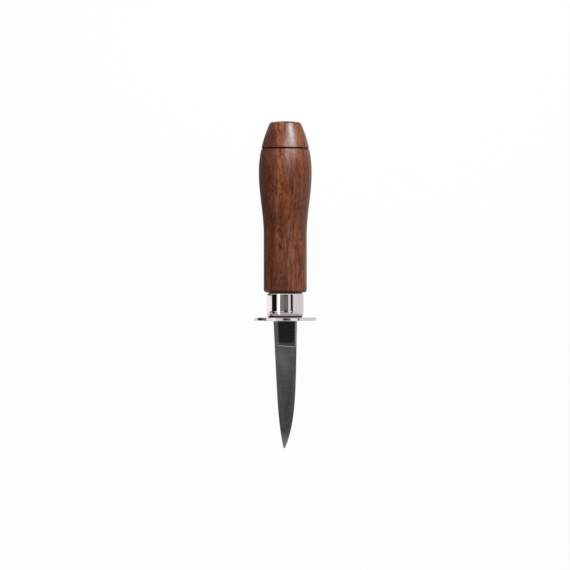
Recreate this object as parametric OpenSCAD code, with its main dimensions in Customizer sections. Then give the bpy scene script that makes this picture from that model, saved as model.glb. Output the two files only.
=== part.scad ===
// Oyster knife with a turned wooden handle, a steel ferrule and a round guard.
// It lies on its side. +X runs along the knife's axis to the point of the blade,
// +Z is square to the flats of the blade, and the origin is on the axis at the
// guard's front face. All sizes are in millimetres.

/* [Blade] */
// Length of the blade from the guard to the point
blade_l = 65; // [50:1:85]
// Width of the blade at the guard
blade_w = 12; // [9:0.1:15]
// Thickness of the blade between the guard and the plunge line
blade_t = 2.4; // [2:0.1:3.2]
// Thickness of the blade near the point, before the bevels meet
point_t = 1.3; // [1.1:0.1:1.7]
// Radius of the rounded point, seen from above
point_r = 0.5; // [0.4:0.1:1]
// Share of the width that is lost evenly along the blade
blade_taper = 0.35; // [0.2:0.01:0.5]
// How far the middle of the blade swings towards the belly edge
belly_swing = 0.95; // [0:0.05:1.5]
// How far the point drops towards the back edge
point_drop = 0.45; // [0:0.05:1.5]

/* [Grinding] */
// Distance from the guard to the plunge line, where the ground part starts
ricasso_l = 12.7; // [9:0.1:18]
// How far the plunge line slants along the blade, from edge to edge
plunge_slant = 1; // [0:0.1:2]
// Depth of the step at the plunge line, on each face
plunge_step = 0.15; // [0.05:0.01:0.3]
// Length of the run-out of that step
plunge_run = 0.4; // [0.3:0.1:1]
// Width of the bevel along the belly edge
belly_bevel_w = 1.7; // [0.6:0.1:2]
// Width of the bevel along the back edge
back_bevel_w = 2; // [0.8:0.1:2.6]
// Thickness of the blunt edges
edge_t = 0.9; // [0.4:0.1:1]
// Width of the chamfers on the unground part's back corners
back_chamfer_w = 2.2; // [0.4:0.1:2.5]
// Width of the chamfers on the unground part's belly corners
belly_chamfer_w = 1; // [0.3:0.1:2]
// Depth of those chamfers
chamfer_depth = 0.45; // [0.2:0.05:0.6]

/* [Tang] */
// Length of the tang behind the guard's front face
tang_l = 62; // [40:1:70]
// Width of the tang at the guard
tang_w = 6; // [4:0.1:7]
// Width of the tang at its end
tang_end_w = 4; // [3:0.1:5]
// Thickness of the tang
tang_t = 2.2; // [1.6:0.1:2.6]
// Diameter of the keying notches in the tang's edges
tang_notch_d = 1.6; // [1:0.1:2]

/* [Guard] */
// Diameter of the round guard
guard_d = 32; // [26:0.5:40]
// Thickness of the guard
guard_t = 1.7; // [1.2:0.1:3]
// Radius of the rounded rim corners of the guard
guard_edge_r = 0.3; // [0.1:0.05:0.5]
// Depth of the recess in the guard that the blade's shoulders sit in
recess_depth = 0.5; // [0.3:0.1:0.8]

/* [Ferrule] */
// Outside diameter of the ferrule
ferrule_d = 18.9; // [16:0.1:21]
// Length of the ferrule
ferrule_l = 12.2; // [8:0.1:20]
// Wall of the ferrule
ferrule_wall = 0.9; // [0.5:0.1:1.5]
// Length of the rounded nose that the ferrule is drawn to at its closed end
ferrule_nose_l = 3.5; // [1.5:0.1:5]
// How much the nose takes off the ferrule's radius
ferrule_nose_drop = 1.3; // [0.5:0.1:1.4]
// Length of the eased rim at the ferrule's open end
ferrule_rim_l = 1.5; // [0.5:0.1:3]
// How much the eased rim takes off the ferrule's radius
ferrule_rim_drop = 0.25; // [0.05:0.05:0.4]

/* [Handle] */
// Length of the handle behind the ferrule
handle_l = 87.3; // [80:0.1:110]
// Diameter of the straight grip next to the ferrule
grip_d = 22; // [21:0.1:24]
// Length of the straight grip
grip_l = 28.8; // [20:0.2:35]
// Largest diameter of the handle, at the swell
swell_d = 27; // [24:0.1:32]
// Distance from the ferrule to the swell's largest diameter
swell_pos = 61.4; // [50:0.2:66]
// Diameter of the handle's end, where the sides meet the domed end
butt_d = 15.7; // [12:0.1:20]
// Height of the domed end
dome_h = 0.7; // [0.3:0.1:2]
// How far the corner round the domed end is eased, along each side of it
butt_ease = 0.9; // [0.4:0.1:1.5]
// Radius of the rounded corner next to the ferrule
shoulder_r = 1.4; // [0.8:0.1:1.6]
// Distance from the handle's end to the middle of the turned groove
groove_pos = 14.1; // [10:0.1:18]
// Width of the turned groove
groove_w = 1; // [0.5:0.1:1.5]
// Depth of the turned groove
groove_depth = 0.7; // [0.3:0.1:1.2]

/* [Joint of blade and handle] */
// Diameter of the hole drilled in the handle for the tang
bore_d = 8; // [7.6:0.1:10]
// How much deeper than the tang's end the hole is drilled
bore_spare = 2; // [1:0.5:6]
// Clearance round the tang and the blade in the slots of guard and ferrule
slot_gap = 0.15; // [0.05:0.05:0.3]
// Clearance between the handle's tenon and the ferrule's wall
tenon_gap = 0.05; // [0.02:0.01:0.15]
// Gap left open between the ferrule's rim and the handle's shoulder
shoulder_gap = 0.5; // [0.2:0.1:1]
// Clearance of the set resin from the wood and the steel
resin_gap = 0.02; // [0.01:0.01:0.05]

/* [Hidden] */

$fn = 96;
steel_dark = "#4c4c50";
steel_bright = "#cfcccb";
wood_brown = "#6e4230";
resin_amber = "#8a6a32";

// Places along the axis
guard_back = -guard_t;
ferrule_floor = guard_back - ferrule_wall;
ferrule_rim = guard_back - ferrule_l;
handle_front = ferrule_rim - shoulder_gap;
tenon_front = ferrule_floor;
butt_end = handle_front - handle_l;
rim_back = butt_end + dome_h;
swell_x = handle_front - swell_pos;
grip_back = handle_front - grip_l;
groove_x = butt_end + groove_pos;
tang_end = -tang_l;
bore_end = tang_end - bore_spare;

// Steps that the curves are drawn in
blade_steps = 18;
tip_steps = 4;
curve_steps = 14;
arc_steps = 6;

// Outline of the blade. It loses width evenly, and then ever faster to the point.
point_power = 5.5;
swing_power = 5;
tip_angle = 78;
tip_x = blade_l - point_r * sin(tip_angle);

function along(x) = max(0, x) / tip_x;
function half_w(x) = blade_w / 2 * (1 - blade_taper * along(x))
  - (blade_w / 2 * (1 - blade_taper) - point_r) * pow(along(x), point_power);
function mid_y(x) = belly_swing * along(x)
  - (belly_swing + point_drop) * pow(along(x), swing_power);

// Half the thickness of the ground part, thinning evenly to the point
function half_t(x) =
  let (share = (x - ricasso_l) / (blade_l - ricasso_l))
  (blade_t / 2 - plunge_step) * (1 - share) + point_t / 2 * share;

// Eight corners of the blade across its axis: half width w about y, half thickness t,
// half thickness e at the edges, bevels of back and belly width, slanting in plan
function section(x, y, w, t, e, back, belly, slant) = [
  for (p = [
    [y - w, -e], [y - w, e], [y - w + back, t], [y + w - belly, t],
    [y + w, e], [y + w, -e], [y + w - belly, -t], [y - w + back, -t]
  ]) [x + slant * (p[0] - y) / blade_w, p[0], p[1]]
];

// The unground part, with its chamfers
function ricasso_section(x, slant) = section(
  x, mid_y(x), half_w(x), blade_t / 2, blade_t / 2 - chamfer_depth,
  back_chamfer_w, belly_chamfer_w, slant
);

// The ground part. Where the blade is narrower than its bevels they are cut short,
// at the same slope, so they meet in a ridge at the point.
bevels_w = back_bevel_w + belly_bevel_w;
ridge_share = 0.94;
function ground_section(x, y, w, slant) =
  let (
    k = min(1, 2 * w * ridge_share / bevels_w),
    t = edge_t / 2 + (half_t(x) - edge_t / 2) * k
  )
  section(x, y, w, t, edge_t / 2, back_bevel_w * k, belly_bevel_w * k, slant);

// The slant of the plunge line fades out over the first stretch of the ground part
ground_x = ricasso_l + plunge_run;
fade_l = 4;
function slant_at(x) = plunge_slant * max(0, 1 - (x - ground_x) / fade_l);

blade_sections = concat(
  [ricasso_section(-recess_depth, 0), ricasso_section(ricasso_l, plunge_slant)],
  [
    for (i = [0:blade_steps])
    let (x = ground_x + (tip_x - ground_x) * sin(90 * i / blade_steps))
    ground_section(x, mid_y(x), half_w(x), slant_at(x))
  ],
  [
    for (i = [1:tip_steps])
    let (a = tip_angle * i / tip_steps)
    ground_section(tip_x + point_r * sin(a), mid_y(tip_x), point_r * cos(a), 0)
  ]
);

// A closed skin over sections that each have the same number of corners
module skin(sections) {
  n = len(sections[0]);
  last = len(sections) - 1;
  polyhedron(
    points = [for (s = sections) for (p = s) p],
    faces = concat(
      [[for (j = [0:n - 1]) n - 1 - j]],
      [
        for (i = [0:last - 1]) for (j = [0:n - 1])
        for (f = [
          [i * n + j, i * n + (j + 1) % n, (i + 1) * n + j],
          [i * n + (j + 1) % n, (i + 1) * n + (j + 1) % n, (i + 1) * n + j]
        ]) f
      ],
      [[for (j = [0:n - 1]) last * n + j]]
    )
  );
}

// The tang, grown by a gap where it cuts its way through another piece.
// It runs a little into the blade, and starts at the blade's shoulders.
tang_root = 1;
notch_places = [0.45, 0.75];
module tang(gap, notched) {
  linear_extrude(height = tang_t + 2 * gap, center = true)
  difference() {
    polygon([
      [tang_root, -tang_w / 2 - gap],
      [tang_root, tang_w / 2 + gap],
      [tang_end / 2, tang_w / 2 + gap],
      [tang_end - gap, tang_end_w / 2 + gap],
      [tang_end - gap, -tang_end_w / 2 - gap],
      [tang_end / 2, -tang_w / 2 - gap]
    ]);
    if (notched)
      for (place = notch_places, side = [-1, 1])
      translate([tang_end * place, side * tang_w / 2]) circle(d = tang_notch_d);
  }
}

// Turns what is drawn round Z so that it lies round X, with Z becoming X
module along_x() {
  rotate([0, 90, 0]) children();
}

// Points of a stretch of an ellipse about a centre, from one angle to another
function oval(cx, cy, rx, ry, from, to) = [
  for (i = [0:arc_steps])
  let (a = from + (to - from) * i / arc_steps)
  [cx + rx * cos(a), cy + ry * sin(a)]
];
function arc(cx, cy, r, from, to) = oval(cx, cy, r, r, from, to);

// A plain box that cuts the tang's way through a wall
module slot(x_from, x_to) {
  translate([x_from, -tang_w / 2 - slot_gap, -tang_t / 2 - slot_gap])
  cube([x_to - x_from, tang_w + 2 * slot_gap, tang_t + 2 * slot_gap]);
}

// Radius of the handle at x: a straight grip, an eased swell and a bowed taper
function handle_r(x) =
  x > grip_back ? grip_d / 2
  : x > swell_x ? grip_d / 2
    + (swell_d - grip_d) / 4 * (1 - cos(180 * (grip_back - x) / (grip_back - swell_x)))
  : swell_d / 2
    - (swell_d - butt_d) / 2 * pow((swell_x - x) / (swell_x - rim_back), 2);

// The eased corner between the taper and the domed end
function ease(a, b, c, s) = a * pow(1 - s, 2) + b * 2 * s * (1 - s) + c * pow(s, 2);
ease_from = [handle_r(rim_back + butt_ease), rim_back + butt_ease];
ease_to = [butt_d / 2 - butt_ease, rim_back - dome_h * 2 * butt_ease / (butt_d / 2)];

// The groove is cut with a pointed tool
groove_r = handle_r(groove_x);
groove_cut = [
  [groove_r + groove_depth, groove_x + groove_w], [groove_r - groove_depth, groove_x],
  [groove_r + groove_depth, groove_x - groove_w]
];

// Half outline of the handle, as radius and place along the axis
tenon_r = ferrule_d / 2 - ferrule_wall - tenon_gap;
tenon_chamfer = 0.8;
handle_outline = concat(
  [
    [0, tenon_front],
    [tenon_r - tenon_chamfer, tenon_front],
    [tenon_r, tenon_front - tenon_chamfer],
    [tenon_r, handle_front]
  ],
  arc(grip_d / 2 - shoulder_r, handle_front - shoulder_r, shoulder_r, 90, 0),
  [
    for (i = [0:curve_steps])
    let (x = grip_back + (swell_x - grip_back) * i / curve_steps) [handle_r(x), x]
  ],
  [
    for (i = [1:curve_steps - 1])
    let (x = swell_x + (ease_from[1] - swell_x) * i / curve_steps) [handle_r(x), x]
  ],
  [for (i = [0:arc_steps]) ease(ease_from, [butt_d / 2, rim_back], ease_to, i / arc_steps)],
  [
    for (i = [1:arc_steps])
    let (r = ease_to[0] * (1 - i / arc_steps))
    [r, butt_end + (ease_to[1] - butt_end) * pow(r / ease_to[0], 2)]
  ]
);

module blade() {
  color(steel_dark)
  union() {
    skin(blade_sections);
    tang(0, true);
  }
}

module guard() {
  recess_w = blade_w + 2 * slot_gap;
  recess_t = blade_t + 2 * slot_gap;
  color(steel_bright)
  difference() {
    along_x() rotate_extrude() polygon(concat(
      [[0, guard_back]],
      arc(guard_d / 2 - guard_edge_r, guard_back + guard_edge_r, guard_edge_r, -90, 0),
      arc(guard_d / 2 - guard_edge_r, -guard_edge_r, guard_edge_r, 0, 90),
      [[0, 0]]
    ));
    slot(guard_back - 1, 1);
    translate([-recess_depth, -recess_w / 2, -recess_t / 2])
    cube([recess_depth + 1, recess_w, recess_t]);
  }
}

module ferrule() {
  outer_r = ferrule_d / 2;
  inner_r = outer_r - ferrule_wall;
  inner_corner_r = ferrule_wall / 2;
  nose_r = outer_r - ferrule_nose_drop;
  rim_r = outer_r - ferrule_rim_drop;
  color(steel_bright)
  difference() {
    along_x() rotate_extrude() polygon(concat(
      [[0, ferrule_floor], [0, guard_back]],
      oval(nose_r, guard_back - ferrule_nose_l, ferrule_nose_drop, ferrule_nose_l, 90, 0),
      oval(rim_r, ferrule_rim + ferrule_rim_l, ferrule_rim_drop, ferrule_rim_l, 0, -90),
      [[inner_r, ferrule_rim]],
      arc(inner_r - inner_corner_r, ferrule_floor - inner_corner_r, inner_corner_r, 0, 90)
    ));
    slot(ferrule_floor - 1, guard_back + 1);
  }
}

module handle() {
  drill_cone_h = bore_d / 2 * tan(31);
  color(wood_brown)
  difference() {
    along_x() rotate_extrude() polygon(handle_outline);
    along_x() translate([0, 0, bore_end]) cylinder(d = bore_d, h = tenon_front - bore_end + 1);
    along_x() translate([0, 0, bore_end - drill_cone_h])
    cylinder(d1 = 0, d2 = bore_d, h = drill_cone_h);
    along_x() rotate_extrude() polygon(groove_cut);
  }
}

module tang_resin() {
  color(resin_amber)
  difference() {
    along_x() translate([0, 0, bore_end])
    cylinder(d = bore_d - 2 * resin_gap, h = tenon_front - bore_end);
    tang(resin_gap, false);
  }
}

blade();
guard();
ferrule();
handle();
tang_resin();
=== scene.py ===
import math

import bpy
from mathutils import Matrix, Vector


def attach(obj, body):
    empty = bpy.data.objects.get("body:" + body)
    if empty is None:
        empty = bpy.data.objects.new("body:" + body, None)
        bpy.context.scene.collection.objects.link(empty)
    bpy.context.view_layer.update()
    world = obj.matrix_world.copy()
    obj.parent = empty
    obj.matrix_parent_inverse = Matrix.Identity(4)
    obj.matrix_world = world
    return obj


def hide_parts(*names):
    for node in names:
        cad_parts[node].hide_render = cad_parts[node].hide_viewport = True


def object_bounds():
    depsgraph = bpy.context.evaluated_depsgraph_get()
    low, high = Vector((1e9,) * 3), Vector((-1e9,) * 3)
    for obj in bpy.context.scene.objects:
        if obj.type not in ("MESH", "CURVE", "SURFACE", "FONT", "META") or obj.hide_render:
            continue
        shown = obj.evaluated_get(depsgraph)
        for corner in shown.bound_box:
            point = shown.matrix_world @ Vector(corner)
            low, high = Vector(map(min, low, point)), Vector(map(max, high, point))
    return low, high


bl_info = {
    "name": "Oyster knife",
    "version": (1, 0, 0),
    "blender": (4, 5, 0),
    "location": "View3D > Sidebar > Oyster knife",
    "description": "Builds a guarded oyster knife with a turned wooden handle",
    "category": "Add Mesh",
}

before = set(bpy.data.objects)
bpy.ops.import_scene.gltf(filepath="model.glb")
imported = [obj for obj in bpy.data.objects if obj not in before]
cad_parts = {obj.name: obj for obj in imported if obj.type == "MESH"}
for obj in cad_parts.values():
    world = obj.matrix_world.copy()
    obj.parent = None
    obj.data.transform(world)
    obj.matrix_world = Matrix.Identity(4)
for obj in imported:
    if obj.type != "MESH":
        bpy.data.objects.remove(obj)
cad_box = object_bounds()
lowest, highest = (Vector(corner) for corner in cad_box)

MM = 0.001
IMAGE_PX = 570
# Steps of a full turn, and how close two points are to be one
ROUND_STEPS = 192
ALIKE = 0.5e-6
# How late along the blade its edges close on the point, and its middle drops
POINT_POWER = 5.5
SWING_POWER = 5
# Where the round point takes over from the edges, measured off the blade's length
TIP_ANGLE = math.radians(78)
# Slope that a twist drill leaves at the end of its hole
DRILL_SLOPE = math.radians(31)
# Places of the tang's notches, as shares of its length
NOTCH_PLACES = (0.45, 0.75)
# How far behind the guard the ferrule's seam carries painted shade
SEAM_SHADE_W = 0.8 * MM
# Where along the knife the lamps and cards are aimed, and how far off the near cards are
AIM_X = -20 * MM
NEAR_CARDS_R = 50 * MM


def length(name, description, mm):
    """A length that a user may change, given in millimetres and kept in metres."""
    return bpy.props.FloatProperty(
        name=name, description=description, default=mm * MM, unit="LENGTH", precision=5
    )


def srgb(hex_value):
    """The three sRGB shares of a hex string such as "#6e4230"."""
    return [int(hex_value[i:i + 2], 16) / 255 for i in (1, 3, 5)]


def colour(name, description, hex_value):
    """A colour that a user may change, given as an sRGB hex string."""
    return bpy.props.FloatVectorProperty(
        name=name, description=description, default=srgb(hex_value),
        subtype="COLOR_GAMMA", size=3, min=0, max=1,
    )


def linear(shares):
    """The linear RGBA of three sRGB shares."""
    parts = [c / 12.92 if c <= 0.04045 else ((c + 0.055) / 1.055) ** 2.4 for c in shares]
    return (*parts, 1.0)


class KnifeSizes(bpy.types.PropertyGroup):
    """Real sizes of the knife's pieces."""
    blade_l: length("Blade length", "From the guard to the point", 65)
    blade_w: length("Blade width", "Width of the blade at the guard", 12)
    blade_t: length("Blade thickness", "Thickness next to the guard", 2.4)
    point_t: length("Point thickness", "Thickness near the point, before the bevels meet", 1.3)
    point_r: length("Point radius", "Radius of the rounded point, seen from above", 0.5)
    belly_swing: length("Belly swing", "How far the blade's middle swings to the belly", 0.95)
    point_drop: length("Point drop", "How far the point drops to the back", 0.45)
    ricasso_l: length("Unground length", "From the guard to the plunge line", 12.7)
    plunge_slant: length("Plunge slant", "Slant of the plunge line from edge to edge", 1)
    plunge_step: length("Plunge step", "Depth of the step at the plunge line", 0.15)
    plunge_run: length("Plunge run-out", "Length of that step's run-out", 0.4)
    belly_bevel_w: length("Belly bevel", "Width of the bevel on the belly edge", 1.7)
    back_bevel_w: length("Back bevel", "Width of the bevel on the back edge", 2)
    edge_t: length("Edge thickness", "Thickness of the blunt edges", 0.9)
    back_chamfer_w: length("Back chamfer", "On the unground part's back corners", 2.2)
    belly_chamfer_w: length("Belly chamfer", "On the unground part's belly corners", 1)
    chamfer_depth: length("Chamfer depth", "Depth of those chamfers", 0.45)
    tang_l: length("Tang length", "From the guard's front face to the tang's end", 62)
    tang_w: length("Tang width", "Width of the tang at the guard", 6)
    tang_end_w: length("Tang end width", "Width of the tang at its end", 4)
    tang_t: length("Tang thickness", "Thickness of the tang", 2.2)
    tang_notch_d: length("Tang notch", "Diameter of the keying notches", 1.6)
    guard_d: length("Guard diameter", "Diameter of the round guard", 32)
    guard_t: length("Guard thickness", "Thickness of the guard", 1.7)
    guard_edge_r: length("Guard rim radius", "Radius of the guard's rim corners", 0.3)
    recess_depth: length("Recess depth", "Depth of the recess for the blade's shoulders", 0.5)
    ferrule_d: length("Ferrule diameter", "Outside diameter of the ferrule", 18.9)
    ferrule_l: length("Ferrule length", "Length of the ferrule", 12.2)
    ferrule_wall: length("Ferrule wall", "Thickness of the ferrule's wall", 0.9)
    nose_l: length("Nose length", "Length of the ferrule's rounded nose", 3.5)
    nose_drop: length("Nose drop", "What the nose takes off the radius", 1.3)
    rim_l: length("Rim length", "Length of the ferrule's eased rim", 1.5)
    rim_drop: length("Rim drop", "What the eased rim takes off the radius", 0.25)
    handle_l: length("Handle length", "Length of the handle behind the ferrule", 87.3)
    grip_d: length("Grip diameter", "Diameter of the straight grip", 22)
    grip_l: length("Grip length", "Length of the straight grip", 28.8)
    swell_d: length("Swell diameter", "Largest diameter of the handle", 27)
    swell_pos: length("Swell place", "From the ferrule to the largest diameter", 61.4)
    butt_d: length("Butt diameter", "Diameter where the sides meet the dome", 15.7)
    dome_h: length("Dome height", "Height of the domed end", 0.7)
    butt_ease: length("Butt easing", "How far the corner round the dome is eased", 0.9)
    shoulder_r: length("Shoulder radius", "Rounded corner next to the ferrule", 1.4)
    groove_pos: length("Groove place", "From the handle's end to the groove", 14.1)
    groove_w: length("Groove width", "Width of the turned groove", 1)
    groove_depth: length("Groove depth", "Depth of the turned groove", 0.7)
    bore_d: length("Bore diameter", "Hole in the handle for the tang", 8)
    bore_spare: length("Bore spare", "Depth of the hole past the tang's end", 2)
    slot_gap: length("Slot clearance", "Clearance round the tang and blade", 0.15)
    tenon_gap: length("Tenon clearance", "Clearance of the tenon in the ferrule", 0.05)
    shoulder_gap: length("Shoulder gap", "Open gap between ferrule and handle", 0.5)
    blade_taper: bpy.props.FloatProperty(
        name="Blade taper", description="Share of the width lost evenly", default=0.35
    )


class KnifeColours(bpy.types.PropertyGroup):
    """Colours of the knife's finishes."""
    wood_light: colour("Light wood", "The palest bands of the wood", "#a46548")
    wood_mid: colour("Wood", "The main red-brown of the wood", "#84482d")
    wood_dark: colour("Dark wood", "The dark bands of the wood", "#522512")
    wood_pore: colour("Pores", "The open pores of the wood", "#2a130c")
    polished_steel: colour("Polished steel", "Ferrule and guard", "#cdc6c4")
    # These two colours are painted shade in the seam where the ferrule meets the guard
    seam_shade_steel: colour("Dull steel", "The ferrule's unbuffed corner", "#5c5a5a")
    seam_deep_shade_steel: colour("Dark steel", "Dark marks in that corner", "#26262a")
    ground_steel: colour("Ground steel", "The ground part of the blade", "#868689")
    plain_steel: colour("Plain steel", "The unground part of the blade", "#8c8c8f")
    resin: colour("Resin", "The set adhesive round the tang", "#8a6a32")


class StageSettings(bpy.types.PropertyGroup):
    """The camera's place and how much it takes in."""
    camera_distance: bpy.props.FloatProperty(
        name="Camera distance", description="Height over the axis", default=1.326,
        unit="LENGTH",
    )
    px_size: length("Size of a pixel", "What one pixel shows at the knife's axis", 0.51)
    centre_x: length("Picture centre along", "Where the picture's middle is along X", -18.2)
    centre_y: length("Picture centre across", "Where the picture's middle is across Y", -0.13)


def sizes():
    return bpy.context.scene.knife_sizes


def colours():
    return bpy.context.scene.knife_colours


# Places along the axis, from the sizes

def guard_back():
    return -sizes().guard_t


def ferrule_floor():
    return guard_back() - sizes().ferrule_wall


def ferrule_rim():
    return guard_back() - sizes().ferrule_l


def handle_front():
    return ferrule_rim() - sizes().shoulder_gap


def butt_end():
    return handle_front() - sizes().handle_l


# Shaping tools

def clear_selection():
    if bpy.context.mode != "OBJECT":
        bpy.ops.object.mode_set(mode="OBJECT")
    bpy.ops.object.select_all(action="DESELECT")


def make_active(piece):
    clear_selection()
    piece.select_set(True)
    bpy.context.view_layer.objects.active = piece


def spin_solid(name, profile):
    """A closed solid turned about X from (x, radius) points that start and end on the axis."""
    clear_selection()
    bpy.ops.mesh.primitive_plane_add(size=MM, location=(0, 0, 0))
    piece = bpy.context.object
    piece.name = name
    bpy.ops.object.mode_set(mode="EDIT")
    bpy.ops.mesh.merge(type="CENTER")
    x, r = profile[0]
    bpy.ops.transform.translate(value=(x, 0, r))
    for next_x, next_r in profile[1:]:
        bpy.ops.mesh.extrude_region_move(
            TRANSFORM_OT_translate={"value": (next_x - x, 0, next_r - r)}
        )
        x, r = next_x, next_r
    bpy.ops.mesh.select_all(action="SELECT")
    bpy.ops.mesh.spin(
        steps=ROUND_STEPS, angle=math.tau, center=(0, 0, 0), axis=(1, 0, 0)
    )
    bpy.ops.mesh.select_all(action="SELECT")
    bpy.ops.mesh.remove_doubles(threshold=ALIKE)
    bpy.ops.mesh.normals_make_consistent(inside=False)
    bpy.ops.object.mode_set(mode="OBJECT")
    return piece


def bar(name, low, high):
    """A box between two corners, with its place in its mesh."""
    clear_selection()
    middle = [(a + b) / 2 for a, b in zip(low, high)]
    bpy.ops.mesh.primitive_cube_add(size=1, location=middle)
    piece = bpy.context.object
    piece.name = name
    piece.scale = [b - a for a, b in zip(low, high)]
    bpy.ops.object.transform_apply(location=True, rotation=True, scale=True)
    return piece


def grind(piece, cuts):
    """Takes off what lies past each plane, given as a point and an outward normal."""
    make_active(piece)
    bpy.ops.object.mode_set(mode="EDIT")
    for point, normal in cuts:
        bpy.ops.mesh.select_all(action="SELECT")
        bpy.ops.mesh.bisect(
            plane_co=point, plane_no=Vector(normal).normalized(),
            use_fill=True, clear_outer=True, threshold=ALIKE,
        )
    bpy.ops.object.mode_set(mode="OBJECT")


def combine(piece, other, operation):
    """Joins another piece to this one, or cuts it away, and takes the other one out."""
    make_active(piece)
    modifier = piece.modifiers.new(operation.lower(), "BOOLEAN")
    modifier.operation = operation
    modifier.solver = "EXACT"
    modifier.object = other
    bpy.ops.object.modifier_apply(modifier=modifier.name)
    bpy.data.objects.remove(other)


def smooth(piece, degrees):
    """Shades smoothly over shallow edges, with the large faces kept flat."""
    make_active(piece)
    bpy.ops.object.shade_smooth_by_angle(angle=math.radians(degrees))
    modifier = piece.modifiers.new("even", "WEIGHTED_NORMAL")
    modifier.keep_sharp = True
    modifier.weight = 100
    bpy.ops.object.modifier_apply(modifier=modifier.name)


def hand_over(piece, node, material):
    """Gives a finished piece its material and puts it in the place of a node."""
    piece.data.materials.append(material)
    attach(piece, "root")
    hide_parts(node)


# Materials

def add_node(tree, kind, inputs=None, **settings):
    """Adds a node, sets it, and fills its inputs with values or with other sockets."""
    node = tree.nodes.new(kind)
    for name, value in settings.items():
        setattr(node, name, value)
    for name, value in (inputs or {}).items():
        if isinstance(value, bpy.types.NodeSocket):
            tree.links.new(value, node.inputs[name])
        else:
            node.inputs[name].default_value = value
    return node


def new_material(name):
    material = bpy.data.materials.new(name)
    material.use_nodes = True
    tree = material.node_tree
    return material, tree, tree.nodes["Principled BSDF"]


def stretched(tree, along, across, place=None):
    """Object coordinates counted in grains, so long along X and so wide across it."""
    place = place or add_node(tree, "ShaderNodeTexCoord").outputs["Object"]
    scale = (1 / along, 1 / across, 1 / across)
    return add_node(
        tree, "ShaderNodeMapping", {"Vector": place, "Scale": scale}
    ).outputs["Vector"]


def ramp(tree, value, stops):
    """A colour ramp from a list of (place, RGBA)."""
    node = add_node(tree, "ShaderNodeValToRGB", {"Fac": value})
    elements = node.color_ramp.elements
    while len(elements) < len(stops):
        elements.new(0.5)
    for element, (place, rgba) in zip(elements, stops):
        element.position = place
        element.color = rgba
    return node.outputs["Color"]


def grey(value):
    return (value, value, value, 1)


def shade(tint, share):
    """A tint made so much darker, or lighter, as linear RGBA."""
    return (*(Vector(linear(tint)[:3]) * share), 1)


def painted_side_shade(tree, place, start, full, depths):
    """How much painted shade on one side of the handle darkens the wood, from 0 to 1.

    It sets in at start and is full at full, both in mm across the handle. The depths
    are its darkness along the handle, from the guard (0) to 100 mm behind it (1).
    """
    along, side = add_node(
        tree, "ShaderNodeSeparateXYZ", {"Vector": place}
    ).outputs[0:2]
    along = add_node(tree, "ShaderNodeMapRange", {
        "Value": along, "From Min": 0.0, "From Max": -100 * MM,
    }).outputs["Result"]
    depth = ramp(tree, along, [(stop, grey(depth)) for stop, depth in depths])
    return add_node(tree, "ShaderNodeMapRange", {
        "Value": side, "From Min": start * MM, "From Max": full * MM, "To Max": depth,
    }, interpolation_type="SMOOTHSTEP").outputs["Result"]


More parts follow.
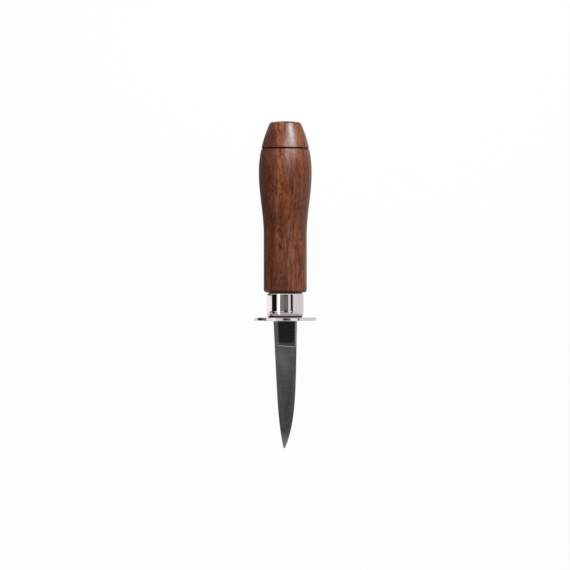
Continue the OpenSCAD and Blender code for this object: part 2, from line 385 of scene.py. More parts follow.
def oiled_hardwood():
    """Turned red-brown hardwood, oiled: long fibres, dark open pores, a satin gloss."""
    material, tree, shader = new_material("oiled_hardwood")
    tints = colours()
    # The whole figure drifts sideways by a few millimetres along the handle
    drift = add_node(tree, "ShaderNodeTexNoise", {
        "Vector": stretched(tree, 36 * MM, 22 * MM), "Scale": 1.0, "Detail": 1.0,
    }).outputs["Color"]
    place = add_node(tree, "ShaderNodeTexCoord").outputs["Object"]
    place = add_node(tree, "ShaderNodeVectorMath", {
        0: drift, 1: (0, 7 * MM, 7 * MM), 2: place,
    }, operation="MULTIPLY_ADD").outputs["Vector"]
    # Growth bands about 5 mm wide
    bands = add_node(tree, "ShaderNodeTexNoise", {
        "Vector": stretched(tree, 70 * MM, 5 * MM, place), "Scale": 1.0, "Detail": 3.0,
        "Roughness": 0.55, "Distortion": 0.6,
    }).outputs["Fac"]
    # Fibres about 0.9 mm wide and 30 mm long
    fibres = add_node(tree, "ShaderNodeTexNoise", {
        "Vector": stretched(tree, 30 * MM, 0.9 * MM, place), "Scale": 1.0, "Detail": 4.0,
        "Roughness": 0.65,
    }).outputs["Fac"]
    # Short fibre ends 0.4 mm wide and 1.6 mm long, which give the wood its speckle
    speckle = add_node(tree, "ShaderNodeTexNoise", {
        "Vector": stretched(tree, 1.6 * MM, 0.4 * MM), "Scale": 1.0, "Detail": 2.0,
        "Roughness": 0.7,
    }).outputs["Fac"]
    # Pores, drawn 0.4 mm wide and 5 mm long, coarser than real so that they show
    pores = add_node(tree, "ShaderNodeTexNoise", {
        "Vector": stretched(tree, 5 * MM, 0.4 * MM, place), "Scale": 1.0, "Detail": 1.0,
        "Roughness": 0.4,
    }).outputs["Fac"]
    figure = add_node(tree, "ShaderNodeMix", {
        "Factor": 0.45, "A": bands, "B": fibres,
    }, data_type="FLOAT").outputs["Result"]
    figure = add_node(tree, "ShaderNodeMix", {
        "Factor": 0.3, "A": figure, "B": speckle,
    }, data_type="FLOAT").outputs["Result"]
    wood = ramp(tree, figure, [
        (0.4, linear(tints.wood_dark)), (0.49, linear(tints.wood_mid)),
        (0.6, linear(tints.wood_light)),
    ])
    # Painted shade in two dark bands along the handle: one on the -Y side, darkest in
    # the dome, and a fainter one on the +Y side, darkest in the swell
    near_side_shade = painted_side_shade(
        tree, place, -0.2, -2, [(0.22, 0.52), (0.34, 0.68), (0.84, 0.68), (0.94, 1)]
    )
    far_side_shade = painted_side_shade(
        tree, place, -0.5, 2, [(0.38, 0.14), (0.5, 0.48), (0.74, 0.48), (0.84, 0.1)]
    )
    side_shades = add_node(
        tree, "ShaderNodeMath", {0: near_side_shade, 1: far_side_shade}
    ).outputs["Value"]
    # They darken by the same share everywhere, so that the grain still shows
    darker = [
        dark / mid for dark, mid in zip(linear(tints.wood_dark), linear(tints.wood_mid))
    ]
    wood = add_node(tree, "ShaderNodeMix", {
        "Factor": side_shades, "A": wood, "B": darker,
    }, data_type="RGBA", blend_type="MULTIPLY").outputs["Result"]
    # Dark streaks about 1.2 mm wide and 50 mm long, where the fibres lie thickest
    streaks = add_node(tree, "ShaderNodeTexNoise", {
        "Vector": stretched(tree, 50 * MM, 1.2 * MM, place), "Scale": 1.0, "Detail": 2.0,
        "Roughness": 0.5,
    }).outputs["Fac"]
    streaks = ramp(tree, streaks, [(0.54, grey(0)), (0.66, grey(0.75))])
    wood = add_node(tree, "ShaderNodeMix", {
        "Factor": streaks, "A": wood, "B": linear(tints.wood_dark),
    }, data_type="RGBA").outputs["Result"]
    open_pore = ramp(tree, pores, [(0.55, grey(0)), (0.68, grey(0.8))])
    shown = add_node(tree, "ShaderNodeMix", {
        "Factor": open_pore, "A": wood, "B": linear(tints.wood_pore),
    }, data_type="RGBA")
    tree.links.new(shown.outputs["Result"], shader.inputs["Base Color"])
    gloss = ramp(tree, fibres, [(0.3, grey(0.3)), (0.7, grey(0.42))])
    tree.links.new(gloss, shader.inputs["Roughness"])
    relief = add_node(tree, "ShaderNodeMath", {
        0: fibres, 1: open_pore,
    }, operation="SUBTRACT").outputs["Value"]
    bump = add_node(tree, "ShaderNodeBump", {
        "Height": relief, "Strength": 0.35, "Distance": 0.06 * MM,
    })
    tree.links.new(bump.outputs["Normal"], shader.inputs["Normal"])
    shader.inputs["IOR"].default_value = 1.5
    shader.inputs["Specular IOR Level"].default_value = 0.15
    return material


def dark_groove_and_joint_shade():
    """The same wood made dark in the groove, and painted shade on the end grain at the ferrule's
    open gap.
    """
    material, tree, shader = new_material("dark_groove_and_joint_shade")
    fibres = add_node(tree, "ShaderNodeTexNoise", {
        "Vector": stretched(tree, 3 * MM, 0.6 * MM), "Scale": 1.0, "Detail": 3.0,
    }).outputs["Fac"]
    # The pores' colour is the tint of this darker wood and painted shade
    tint = colours().wood_pore
    tone = ramp(tree, fibres, [(0.35, shade(tint, 0.5)), (0.7, shade(tint, 1.3))])
    tree.links.new(tone, shader.inputs["Base Color"])
    shader.inputs["Roughness"].default_value = 0.55
    shader.inputs["IOR"].default_value = 1.5
    shader.inputs["Specular IOR Level"].default_value = 0.25
    return material


def polished_stainless():
    """Stainless steel buffed to a mirror, with the faint lines that buffing leaves."""
    material, tree, shader = new_material("polished_stainless")
    shader.inputs["Base Color"].default_value = linear(colours().polished_steel)
    shader.inputs["Metallic"].default_value = 1.0
    lines = add_node(tree, "ShaderNodeTexNoise", {
        "Vector": stretched(tree, 0.25 * MM, 6 * MM), "Scale": 1.0, "Detail": 3.0,
    }).outputs["Fac"]
    gloss = ramp(tree, lines, [(0.35, grey(0.05)), (0.7, grey(0.11))])
    tree.links.new(gloss, shader.inputs["Roughness"])
    bump = add_node(tree, "ShaderNodeBump", {
        "Height": lines, "Strength": 0.05, "Distance": 0.01 * MM,
    })
    tree.links.new(bump.outputs["Normal"], shader.inputs["Normal"])
    return material


def seam_shade_stainless():
    """Painted shade in the narrow seam where the ferrule's nose meets the guard: dull and dark.
    """
    material, tree, shader = new_material("seam_shade_stainless")
    marks = add_node(tree, "ShaderNodeTexNoise", {
        "Vector": stretched(tree, 0.5 * MM, 1.5 * MM), "Scale": 1.0, "Detail": 3.0,
    }).outputs["Fac"]
    tone = ramp(tree, marks, [
        (0.35, linear(colours().seam_deep_shade_steel)), (0.7, linear(colours().seam_shade_steel)),
    ])
    tree.links.new(tone, shader.inputs["Base Color"])
    shader.inputs["Metallic"].default_value = 1.0
    shader.inputs["Roughness"].default_value = 0.4
    return material


def belt_ground_steel():
    """Blade steel ground on a fine belt: lines across the blade, a dull grey sheen."""
    material, tree, shader = new_material("belt_ground_steel")
    shader.inputs["Metallic"].default_value = 1.0
    # Belt lines about 0.2 mm apart, 9 mm long across the blade
    place = add_node(tree, "ShaderNodeTexCoord").outputs["Object"]
    across = add_node(tree, "ShaderNodeMapping", {
        "Vector": place, "Scale": (1 / (0.2 * MM), 1 / (9 * MM), 1 / (0.6 * MM)),
    }).outputs["Vector"]
    lines = add_node(tree, "ShaderNodeTexNoise", {
        "Vector": across, "Scale": 1.0, "Detail": 3.0, "Roughness": 0.6,
    }).outputs["Fac"]
    clouds = add_node(tree, "ShaderNodeTexNoise", {
        "Vector": stretched(tree, 14 * MM, 5 * MM), "Scale": 1.0, "Detail": 2.0,
    }).outputs["Fac"]
    both = add_node(tree, "ShaderNodeMix", {
        "Factor": 0.5, "A": lines, "B": clouds,
    }, data_type="FLOAT").outputs["Result"]
    tint = colours().ground_steel
    tone = ramp(tree, both, [(0.35, shade(tint, 0.8)), (0.65, shade(tint, 1.15))])
    # Painted reflection: the grind darkens towards the point, and a painted highlight brightens
    # it again at the very tip
    along = add_node(tree, "ShaderNodeSeparateXYZ", {"Vector": place}).outputs["X"]
    along = add_node(tree, "ShaderNodeMapRange", {
        "Value": along, "From Min": 13 * MM, "From Max": 65 * MM,
    }).outputs["Result"]
    painted_reflection_ramp = ramp(tree, along, [
        (0, grey(0.42)), (0.35, grey(0.38)), (0.68, grey(0.27)), (0.84, grey(0.34)),
        (0.96, grey(0.95)),
    ])
    tone = add_node(tree, "ShaderNodeMix", {
        "Factor": 1.0, "A": tone, "B": painted_reflection_ramp,
    }, data_type="RGBA", blend_type="MULTIPLY").outputs["Result"]
    tree.links.new(tone, shader.inputs["Base Color"])
    gloss = ramp(tree, both, [(0.35, grey(0.32)), (0.65, grey(0.42))])
    tree.links.new(gloss, shader.inputs["Roughness"])
    bump = add_node(tree, "ShaderNodeBump", {
        "Height": lines, "Strength": 0.12, "Distance": 0.01 * MM,
    })
    tree.links.new(bump.outputs["Normal"], shader.inputs["Normal"])
    return material


def dark_polished_steel():
    """The unground stretch of the blade: polished flat, so it mirrors what is over it."""
    material, tree, shader = new_material("dark_polished_steel")
    shader.inputs["Base Color"].default_value = linear(colours().plain_steel)
    shader.inputs["Metallic"].default_value = 1.0
    marks = add_node(tree, "ShaderNodeTexNoise", {
        "Vector": stretched(tree, 4 * MM, 0.5 * MM), "Scale": 1.0, "Detail": 4.0,
    }).outputs["Fac"]
    gloss = ramp(tree, marks, [(0.35, grey(0.06)), (0.7, grey(0.14))])
    # The belt's first touch leaves the last millimetre before the plunge line duller
    place = add_node(tree, "ShaderNodeTexCoord").outputs["Object"]
    along = add_node(tree, "ShaderNodeSeparateXYZ", {"Vector": place}).outputs["X"]
    end = sizes().ricasso_l
    gloss = add_node(tree, "ShaderNodeMapRange", {
        "Value": along, "From Min": end - 2.1 * MM, "From Max": end - 1.1 * MM,
        "To Min": gloss, "To Max": 0.2,
    }).outputs["Result"]
    tree.links.new(gloss, shader.inputs["Roughness"])
    return material


def set_resin():
    """Set adhesive resin: amber, glossy, a little cloudy."""
    material, tree, shader = new_material("set_resin")
    clouds = add_node(tree, "ShaderNodeTexNoise", {
        "Vector": stretched(tree, 3 * MM, 3 * MM), "Scale": 1.0, "Detail": 2.0,
    }).outputs["Fac"]
    tint = colours().resin
    tone = ramp(tree, clouds, [(0.3, shade(tint, 0.8)), (0.7, shade(tint, 1.2))])
    tree.links.new(tone, shader.inputs["Base Color"])
    shader.inputs["Roughness"].default_value = 0.25
    shader.inputs["IOR"].default_value = 1.55
    return material


# Outlines

def oval(centre_x, centre_r, along, out, start, end, steps=16):
    """Points of a stretch of an ellipse, from angle to angle, 0 pointing away from X."""
    points = []
    for i in range(steps + 1):
        angle = math.radians(start + (end - start) * i / steps)
        points.append(
            (centre_x + along * math.sin(angle), centre_r + out * math.cos(angle))
        )
    return points


def handle_r(x):
    """Radius of the handle: a straight grip, an eased swell and a bowed taper."""
    s = sizes()
    grip_back = handle_front() - s.grip_l
    swell_x = handle_front() - s.swell_pos
    rim_back = butt_end() + s.dome_h
    if x > grip_back:
        return s.grip_d / 2
    if x > swell_x:
        share = (grip_back - x) / (grip_back - swell_x)
        return s.grip_d / 2 + (s.swell_d - s.grip_d) / 4 * (1 - math.cos(math.pi * share))
    share = (swell_x - x) / (swell_x - rim_back)
    return s.swell_d / 2 - (s.swell_d - s.butt_d) / 2 * share ** 2


def handle_profile():
    """The handle's half outline, from the end of its bore round to its domed end."""
    s = sizes()
    bore_r = s.bore_d / 2
    bore_end = -s.tang_l - s.bore_spare
    drill_cone = bore_r * math.tan(DRILL_SLOPE)
    tenon_r = s.ferrule_d / 2 - s.ferrule_wall - s.tenon_gap
    tenon_chamfer = 0.8 * MM
    front = handle_front()
    points = [
        (bore_end - drill_cone, 0), (bore_end, bore_r), (ferrule_floor(), bore_r),
        (ferrule_floor(), tenon_r - tenon_chamfer), (ferrule_floor() - tenon_chamfer, tenon_r),
        (front, tenon_r),
    ]
    points += oval(
        front - s.shoulder_r, s.grip_d / 2 - s.shoulder_r, s.shoulder_r, s.shoulder_r, 90, 0, 10
    )
    rim_back = butt_end() + s.dome_h
    start = front - s.grip_l
    stop = rim_back + s.butt_ease
    groove_x = butt_end() + s.groove_pos
    half_groove = s.groove_w / 2
    steps = 110
    for i in range(steps + 1):
        x = start + (stop - start) * i / steps
        if abs(x - groove_x) > half_groove:
            points.append((x, handle_r(x)))
            continue
        if points[-1][0] < groove_x + half_groove:
            continue
        # The groove is cut with a pointed tool
        points.append((groove_x + half_groove, handle_r(groove_x + half_groove)))
        points.append((groove_x, handle_r(groove_x) - s.groove_depth))
        points.append((groove_x - half_groove, handle_r(groove_x - half_groove)))
    corner = (rim_back, s.butt_d / 2)
    first = (stop, handle_r(stop))
    inner_r = s.butt_d / 2 - s.butt_ease
    last = (rim_back - s.dome_h * 2 * s.butt_ease / (s.butt_d / 2), inner_r)
    for i in range(1, 11):
        t = i / 10
        points.append(tuple(
            a * (1 - t) ** 2 + b * 2 * t * (1 - t) + c * t ** 2
            for a, b, c in zip(first, corner, last)
        ))
    for i in range(1, 13):
        r = inner_r * (1 - i / 12)
        points.append((butt_end() + (last[0] - butt_end()) * (r / inner_r) ** 2, r))
    return points


def ferrule_profile():
    """The ferrule's half outline: end wall, rounded nose, eased rim and inner wall."""
    s = sizes()
    outer_r = s.ferrule_d / 2
    inner_r = outer_r - s.ferrule_wall
    inner_corner = s.ferrule_wall / 2
    back = guard_back()
    front = ferrule_rim()
    floor = ferrule_floor()
    return (
        [(back, 0)]
        + oval(back - s.nose_l, outer_r - s.nose_drop, s.nose_l, s.nose_drop, 90, 0, 24)
        + oval(front + s.rim_l, outer_r - s.rim_drop, s.rim_l, s.rim_drop, 0, -90)
        + [(front, inner_r)]
        + oval(floor - inner_corner, inner_r - inner_corner, inner_corner, inner_corner, 0, 90, 6)
        + [(floor, 0)]
    )


def guard_profile():
    """The guard's half outline: two flat faces and a rim with rounded corners."""
    s = sizes()
    r = s.guard_edge_r
    rim_r = s.guard_d / 2 - r
    back = guard_back()
    return (
        [(back, 0)]
        + oval(back + r, rim_r, r, r, -90, 0, 8)
        + oval(-r, rim_r, r, r, 0, 90, 8)
        + [(0, 0)]
    )


def tip_x():
    """Where the centre of the round point is."""
    return sizes().blade_l - sizes().point_r * math.sin(TIP_ANGLE)


def blade_half_w(x):
    """Half the blade's width, which closes slowly at first and quickly at the point."""
    s = sizes()
    share = max(0, x) / tip_x()
    kept = s.blade_w / 2 * (1 - s.blade_taper)
    return (
        s.blade_w / 2 * (1 - s.blade_taper * share)
        - (kept - s.point_r) * share ** POINT_POWER
    )


def blade_mid_y(x):
    """Where the blade's middle is, which swings to the belly and drops at the point."""
    s = sizes()
    share = max(0, x) / tip_x()
    return s.belly_swing * share - (s.belly_swing + s.point_drop) * share ** SWING_POWER


def blade_half_t(x):
    """Half the ground part's thickness between its bevels."""
    s = sizes()
    share = (x - s.ricasso_l) / (s.blade_l - s.ricasso_l)
    return (s.blade_t / 2 - s.plunge_step) * (1 - share) + s.point_t / 2 * share


def blade_edge(side, start, steps):
    """Points of one edge of the blade, seen from above, with side -1 for the back."""
    end = tip_x()
    points = []
    for i in range(steps + 1):
        x = start + (end - start) * math.sin(math.pi / 2 * i / steps)
        points.append(Vector((x, blade_mid_y(x) + side * blade_half_w(x), 0)))
    return points


def slot_cutter(low_x, high_x, width, thickness):
    """A bar with clearance that cuts the slot for the tang or the blade."""
    gap = sizes().slot_gap
    return bar(
        "cutter",
        (low_x, -width / 2 - gap, -thickness / 2 - gap),
        (high_x, width / 2 + gap, thickness / 2 + gap),
    )


class KNIFE_OT_handle(bpy.types.Operator):
    """Turns the wooden handle with its bore, groove and domed end"""
    bl_idname = "knife.handle"
    bl_label = "Handle"

    def execute(self, context):
        s = sizes()
        piece = spin_solid("handle_turned", handle_profile())
        smooth(piece, 30)
        hand_over(piece, "handle", oiled_hardwood())
        piece.data.materials.append(dark_groove_and_joint_shade())
        # Painted shade from part way round the shoulder to the tenon, and dark wood in the groove
        joint = handle_front() - s.shoulder_r * 0.3
        groove_x = butt_end() + s.groove_pos
        for face in piece.data.polygons:
            in_groove = abs(face.center.x - groove_x) < s.groove_w / 2
            face.material_index = 1 if face.center.x > joint or in_groove else 0
        return {"FINISHED"}


class KNIFE_OT_ferrule(bpy.types.Operator):
    """Draws the steel ferrule with its rounded nose and the slot for the tang"""
    bl_idname = "knife.ferrule"
    bl_label = "Ferrule"

    def execute(self, context):
        s = sizes()
        piece = spin_solid("ferrule_drawn", ferrule_profile())
        cutter = slot_cutter(ferrule_floor() - MM, guard_back() + MM, s.tang_w, s.tang_t)
        combine(piece, cutter, "DIFFERENCE")
        smooth(piece, 30)
        hand_over(piece, "ferrule", polished_stainless())
        piece.data.materials.append(seam_shade_stainless())
        # Painted shade on the nose's last ring, in the seam against the guard
        corner = guard_back() - SEAM_SHADE_W
        for face in piece.data.polygons:
            if corner < face.center.x < guard_back():
                face.material_index = 1
        return {"FINISHED"}


class KNIFE_OT_guard(bpy.types.Operator):
    """Makes the round guard with the recess for the blade's shoulders"""
    bl_idname = "knife.guard"
    bl_label = "Guard"

    def execute(self, context):
        s = sizes()
        piece = spin_solid("guard_disc", guard_profile())
        combine(
            piece, slot_cutter(guard_back() - MM, MM, s.tang_w, s.tang_t), "DIFFERENCE"
        )
        combine(
            piece, slot_cutter(-s.recess_depth, MM, s.blade_w, s.blade_t), "DIFFERENCE"
        )
        smooth(piece, 30)
        hand_over(piece, "guard", polished_stainless())
        return {"FINISHED"}


class KNIFE_OT_blade(bpy.types.Operator):
    """Grinds the blade from a bar, with its bevels, plunge line and tang"""
    bl_idname = "knife.blade"
    bl_label = "Blade"

    def outline_cuts(self, points, side):
        """Upright planes along an edge, each a point and an outward normal."""
        cuts = []
        for a, b in zip(points, points[1:]):
            run = b - a
            cuts.append((a, Vector((-run.y, run.x, 0)) * side))
        return cuts

    def bevel_cuts(self, points, side, width):
        """Sloping planes that grind the bevel of one edge on both faces."""
        s = sizes()
        cuts = []
        for a, outward in self.outline_cuts(points, side):
            depth = blade_half_t(a.x) - s.edge_t / 2
            lean = outward.normalized() * depth
            for face in (-1, 1):
                foot = Vector((a.x, a.y, face * s.edge_t / 2))
                cuts.append((foot, Vector((lean.x, lean.y, face * width))))
        return cuts

    def point_cuts(self):
        """Cuts round the point: upright ones, and the bevels that meet there."""
        s = sizes()
        cuts = []
        centre = Vector((tip_x(), blade_mid_y(tip_x()), 0))
        depth = blade_half_t(tip_x()) - s.edge_t / 2
        steps = 8
        for side, width in ((-1, s.back_bevel_w), (1, s.belly_bevel_w)):
            a, b = blade_edge(side, 0, 30)[-2:]
            # Starts where the edge's own slope ends, so that nothing is cut off the sides
            first = math.atan2((a.y - b.y) * side, b.x - a.x)
            for i in range(steps + 1):
                angle = first + (math.pi / 2 - first) * i / steps
                outward = Vector((math.sin(angle), side * math.cos(angle), 0))
                edge = centre + outward * s.point_r
                cuts.append((edge, outward))
                for face in (-1, 1):
                    foot = Vector((edge.x, edge.y, face * s.edge_t / 2))
                    lean = outward * depth
                    cuts.append((foot, Vector((lean.x, lean.y, face * width))))
        return cuts

    def ground_part(self):
        s = sizes()
        start = s.ricasso_l - 1.5 * MM
        wide = s.blade_w
        piece = bar("blade_forged", (start, -wide, -s.blade_t), (s.blade_l, wide, s.blade_t))
        slope = (blade_half_t(s.blade_l) - blade_half_t(start)) / (s.blade_l - start)
        cuts = [
            ((start, 0, face * blade_half_t(start)), (-slope, 0, face)) for face in (-1, 1)
        ]
        for side, width in ((-1, s.back_bevel_w), (1, s.belly_bevel_w)):
            points = blade_edge(side, start, 30)
            cuts += self.outline_cuts(points, side)
            cuts += self.bevel_cuts(points, side, width)
        grind(piece, cuts + self.point_cuts())
        return piece

    def unground_part(self):
        s = sizes()
        back = -s.recess_depth
        end = s.ricasso_l + s.plunge_run
        wide = s.blade_w
        half_t = s.blade_t / 2
        piece = bar("ricasso", (back, -wide, -half_t), (end + s.plunge_slant, wide, half_t))
        slant = s.plunge_slant / s.blade_w
        cuts = [((end, 0, 0), (1, -slant, 0))]
        for face in (-1, 1):
            cuts.append((
                (s.ricasso_l, 0, face * half_t),
                (s.plunge_step, -s.plunge_step * slant, face * s.plunge_run),
            ))
        for side, width in ((-1, s.back_chamfer_w), (1, s.belly_chamfer_w)):
            points = [
                Vector((x, blade_mid_y(x) + side * blade_half_w(x), 0))
                for x in (0, end)
            ]
            (a, outward), = self.outline_cuts(points, side)
            cuts.append((a, outward))
            lean = outward.normalized() * s.chamfer_depth
            for face in (-1, 1):
                foot = Vector((a.x, a.y, face * (half_t - s.chamfer_depth)))
                cuts.append((foot, Vector((lean.x, lean.y, face * width))))
        grind(piece, cuts)
        return piece

    def tang(self):
        s = sizes()
        piece = bar(
            "tang", (-s.tang_l, -s.tang_w / 2, -s.tang_t / 2), (MM, s.tang_w / 2, s.tang_t / 2)
        )
        narrowing = (s.tang_w - s.tang_end_w) / s.tang_l
        cuts = [
            ((-s.tang_l / 2, side * s.tang_w / 2, 0), (-narrowing, side, 0))
            for side in (-1, 1)
        ]
        grind(piece, cuts)
        for place in NOTCH_PLACES:
            for side in (-1, 1):
                clear_selection()
                bpy.ops.mesh.primitive_cylinder_add(
                    vertices=32, radius=s.tang_notch_d / 2, depth=s.tang_t * 2,
                    location=(-s.tang_l * place, side * s.tang_w / 2, 0),
                )
                notch = bpy.context.object
                bpy.ops.object.transform_apply(location=True)
                combine(piece, notch, "DIFFERENCE")
        return piece

    def execute(self, context):
        s = sizes()
        piece = self.ground_part()
        combine(piece, self.unground_part(), "UNION")
        combine(piece, self.tang(), "UNION")
        hand_over(piece, "blade", belt_ground_steel())
        piece.data.materials.append(dark_polished_steel())
        # The finish changes part way down the step at the plunge line
        slant = s.plunge_slant / s.blade_w
        for face in piece.data.polygons:
            plunge = s.ricasso_l + s.plunge_run * 0.75 + slant * face.center.y
            face.material_index = 1 if face.center.x < plunge else 0
        smooth(piece, 4)
        return {"FINISHED"}


class KNIFE_OT_resin(bpy.types.Operator):
    """Gives the set adhesive in the handle its finish"""
    bl_idname = "knife.resin"
    bl_label = "Resin"

    def execute(self, context):
        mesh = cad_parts["tang_resin"].data
        mesh.materials.clear()
        mesh.materials.append(set_resin())
        return {"FINISHED"}


def across(degrees):
    """The direction so far from straight up towards +Y."""
    angle = math.radians(degrees)
    return (0, math.sin(angle), math.cos(angle))


class KNIFE_OT_stage(bpy.types.Operator):
    """Sets the floor, the studio light and the camera"""
    bl_idname = "knife.stage"
    bl_label = "Stage"

    def camera(self):
        stage = bpy.context.scene.stage_settings
        data = bpy.data.cameras.new("camera")
        data.sensor_width = 36
        view_w = stage.px_size * IMAGE_PX
        data.lens = data.sensor_width * stage.camera_distance / view_w
        camera = bpy.data.objects.new("camera", data)
        camera.location = (stage.centre_x, stage.centre_y, stage.camera_distance)
        camera.rotation_euler = (0, 0, math.pi / 2)
        bpy.context.collection.objects.link(camera)
        bpy.context.scene.camera = camera

    def face_knife(self, item, direction, distance):
        """Puts a lamp or a card in a direction, facing the knife, its X along the knife."""
        out = Vector(direction).normalized()
        along = (Vector((1, 0, 0)) - out * out.x).normalized()
        turn = Matrix((along, out.cross(along), out)).transposed()
        item.rotation_euler = turn.to_euler()
        item.location = Vector((AIM_X, 0, 0)) + out * distance

    def lamp(self, name, direction, distance, size_x, size_y, radiance, mirrored_by=()):
        """An even patch of light that faces the knife, with a radiance of 1 for white.

        One that is mirrored by some pieces makes highlights there and nothing else. Any
        other lights the whole knife and makes no highlight.
        """
        data = bpy.data.lights.new(name, "AREA")
        data.shape = "RECTANGLE"
        data.size = size_x
        data.size_y = size_y
        data.energy = radiance * math.pi * size_x * size_y
        lamp = bpy.data.objects.new(name, data)
        lamp.visible_glossy = bool(mirrored_by)
        lamp.visible_diffuse = not mirrored_by
        if mirrored_by:
            receivers = bpy.data.collections.new(name)
            for piece_name in mirrored_by:
                receivers.objects.link(bpy.data.objects[piece_name])
            lamp.light_linking.receiver_collection = receivers
        self.face_knife(lamp, direction, distance)
        bpy.context.collection.objects.link(lamp)

    def card(self, name, direction, distance, size_x, size_y, tone, shift=(0, 0, 0)):
        """A card that only reflections see, as product photographers place for contrast."""
        clear_selection()
        bpy.ops.mesh.primitive_plane_add(size=1)
        card = bpy.context.object
        card.name = name
        card.scale = (size_x, size_y, 1)
        self.face_knife(card, direction, distance)
        card.location += Vector(shift)
        bpy.ops.object.transform_apply(location=True, rotation=True, scale=True)
        material = bpy.data.materials.new(name)
        material.use_nodes = True
        tree = material.node_tree
        tree.nodes.remove(tree.nodes["Principled BSDF"])
        glow = add_node(tree, "ShaderNodeEmission", {"Color": grey(tone), "Strength": 1.0})
        output = tree.nodes["Material Output"]
        tree.links.new(glow.outputs["Emission"], output.inputs["Surface"])
        card.data.materials.append(material)
        card.visible_camera = False
        card.visible_diffuse = False
        card.visible_shadow = False
        card.visible_transmission = False

    def seen(self, tree):
        """1 for rays from the camera, from a mirror and through glass, which see white."""
        rays = add_node(tree, "ShaderNodeLightPath")
        seen = rays.outputs["Is Camera Ray"]
        for kind in ("Is Glossy Ray", "Is Transmission Ray"):
            seen = add_node(tree, "ShaderNodeMath", {
                0: seen, 1: rays.outputs[kind],
            }, operation="MAXIMUM").outputs["Value"]
        return seen

    def between(self, back, front):
        """How far along X a card is shifted to lie between two places."""
        return (back + front) / 2 - AIM_X

    def floor(self):
        """A floor that shows white, with a small share left to take the knife's shadow."""
        clear_selection()
        bpy.ops.mesh.primitive_plane_add(size=8, location=(0, 0, lowest.z))
        floor = bpy.context.object
        floor.name = "floor"
        bpy.ops.object.transform_apply(location=True)
        material, tree, shader = new_material("pale_floor")
        shader.inputs["Base Color"].default_value = grey(0.65)
        shader.inputs["Roughness"].default_value = 0.9
        glow = add_node(tree, "ShaderNodeEmission", {"Color": grey(1), "Strength": 1.0})
        share = add_node(tree, "ShaderNodeMath", {
            0: self.seen(tree), 1: 0.975,
        }, operation="MULTIPLY")
        mix = add_node(tree, "ShaderNodeMixShader", {
            0: share.outputs["Value"], 1: shader.outputs["BSDF"], 2: glow.outputs["Emission"],
        })
        tree.links.new(mix.outputs["Shader"], tree.nodes["Material Output"].inputs["Surface"])
        floor.data.materials.append(material)

    def world(self):
        """A white surround that shows at full strength and lights at a fifth of it."""
        world = bpy.data.worlds.new("white_tent")
        world.use_nodes = True
        tree = world.node_tree
        background = tree.nodes["Background"]
        background.inputs["Color"].default_value = grey(1)
        strength = add_node(tree, "ShaderNodeMix", {
            "Factor": self.seen(tree), "A": 0.2, "B": 1.0,
        }, data_type="FLOAT").outputs["Result"]
        tree.links.new(strength, background.inputs["Strength"])
        bpy.context.scene.world = world

    def execute(self, context):
        context.scene.view_settings.view_transform = "Standard"
        self.world()
        self.floor()
        self.camera()
        # Two lamps light the knife. The other two make the gleam on the handle's dome
        # and the sheen along its swell
        self.lamp("key_softbox", (-0.72, 0.14, 0.67), 0.3, 0.2, 0.2, 6.5)
        self.lamp("right_softbox", across(78), 0.9, 0.9, 0.6, 0.4)
        self.lamp(
            "butt_gleam", (-0.7, 0.48, 0.56), 0.9, 0.3, 0.3, 108, ("handle_turned",)
        )
        self.lamp(
            "swell_sheen", (-0.47, 0.12, 0.87), 0.9, 0.08, 0.08, 300,
            ("handle_turned", "blade_forged"),
        )
        # Placed round the knife as its ferrule and the guard's rim mirror them
        self.card("left_strip", across(-41), 0.8, 0.9, 0.2, 2.2)
        self.card("overhead_card", across(-20), 1.4, 0.8, 0.64, 0.3)
        self.card("ceiling_card", across(5), 1.45, 0.8, 0.7, 0.16)
        self.card("camera_card", across(1), 1.38, 0.5, 0.26, 0.045)
        self.card("right_flag", across(41), 0.8, 0.5, 0.21, 0.02)
        self.card("left_flag", across(-83), 0.7, 0.4, 0.76, 0.01)
        # Two cards just over the floor on the left: the first keeps its white out of the
        # handle's flank, and the second gives the ferrule its bright edge
        height = lowest.z + 0.5 * MM
        along_handle = (self.between(butt_end(), handle_front()), -0.09, height)
        self.card("floor_flag", (0, 0, 1), 0, sizes().handle_l, 0.145, 0.3, along_handle)
        along_ferrule = (self.between(ferrule_rim(), guard_back()), -0.165, height)
        self.card("floor_glow", (0, 0, 1), 0, sizes().ferrule_l, 0.29, 1.4, along_ferrule)
        # Narrow cards close to the knife, each mirrored by one piece alone, given by the
        # angles across the knife where they begin and end, their tone and their place
        over_guard = (guard_back(), -guard_back())
        over_ferrule = (ferrule_rim(), guard_back() - sizes().nose_l)
        for name, low, high, tone, (back, front) in (
            ("guard_flag", -106, -80, 0.01, over_guard),
            ("guard_shade", -80, -63, 0.25, over_guard),
            ("guard_left_card", -63, -30, 1.35, over_guard),
            ("guard_top_card", -30, -8, 1, over_guard),
            ("guard_right_card", 18, 39.5, 1.2, over_guard),
            ("guard_right_flag", 39.5, 45.5, 0.05, over_guard),
            ("ferrule_card", -11, 12, 0.22, over_ferrule),
        ):
            half = math.radians(high - low) / 2
            self.card(
                name, across((low + high) / 2), NEAR_CARDS_R * math.cos(half), front - back,
                2 * NEAR_CARDS_R * math.sin(half), tone, (self.between(back, front), 0, 0),
            )
        return {"FINISHED"}


class KNIFE_PT_panel(bpy.types.Panel):
    """Lists the knife's pieces and sizes"""
    bl_label = "Oyster knife"
    bl_idname = "KNIFE_PT_panel"
    bl_space_type = "VIEW_3D"
    bl_region_type = "UI"
    bl_category = "Oyster knife"

    def draw(self, context):
        for operator in OPERATORS:
            self.layout.operator(operator.bl_idname)
        scene = context.scene
        for group in (scene.knife_sizes, scene.knife_colours, scene.stage_settings):
            box = self.layout.box()
            for name in group.bl_rna.properties.keys():
                if name not in ("rna_type", "name"):
                    box.prop(group, name)


GROUPS = (KnifeSizes, KnifeColours, StageSettings)
OPERATORS = (
    KNIFE_OT_handle, KNIFE_OT_ferrule, KNIFE_OT_guard, KNIFE_OT_blade, KNIFE_OT_resin,
    KNIFE_OT_stage,
)


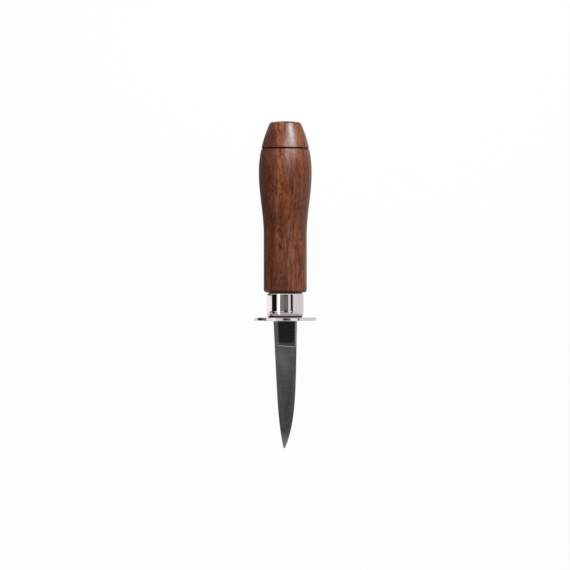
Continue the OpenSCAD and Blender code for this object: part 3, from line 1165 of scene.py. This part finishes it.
def register():
    for item in (*GROUPS, *OPERATORS, KNIFE_PT_panel):
        bpy.utils.register_class(item)
    bpy.types.Scene.knife_sizes = bpy.props.PointerProperty(type=KnifeSizes)
    bpy.types.Scene.knife_colours = bpy.props.PointerProperty(type=KnifeColours)
    bpy.types.Scene.stage_settings = bpy.props.PointerProperty(type=StageSettings)


def unregister():
    del bpy.types.Scene.stage_settings
    del bpy.types.Scene.knife_colours
    del bpy.types.Scene.knife_sizes
    for item in reversed((*GROUPS, *OPERATORS, KNIFE_PT_panel)):
        bpy.utils.unregister_class(item)


def main():
    register()
    bpy.ops.knife.handle()
    bpy.ops.knife.ferrule()
    bpy.ops.knife.guard()
    bpy.ops.knife.blade()
    bpy.ops.knife.resin()
    bpy.ops.knife.stage()


if __name__ == "__main__":
    main()
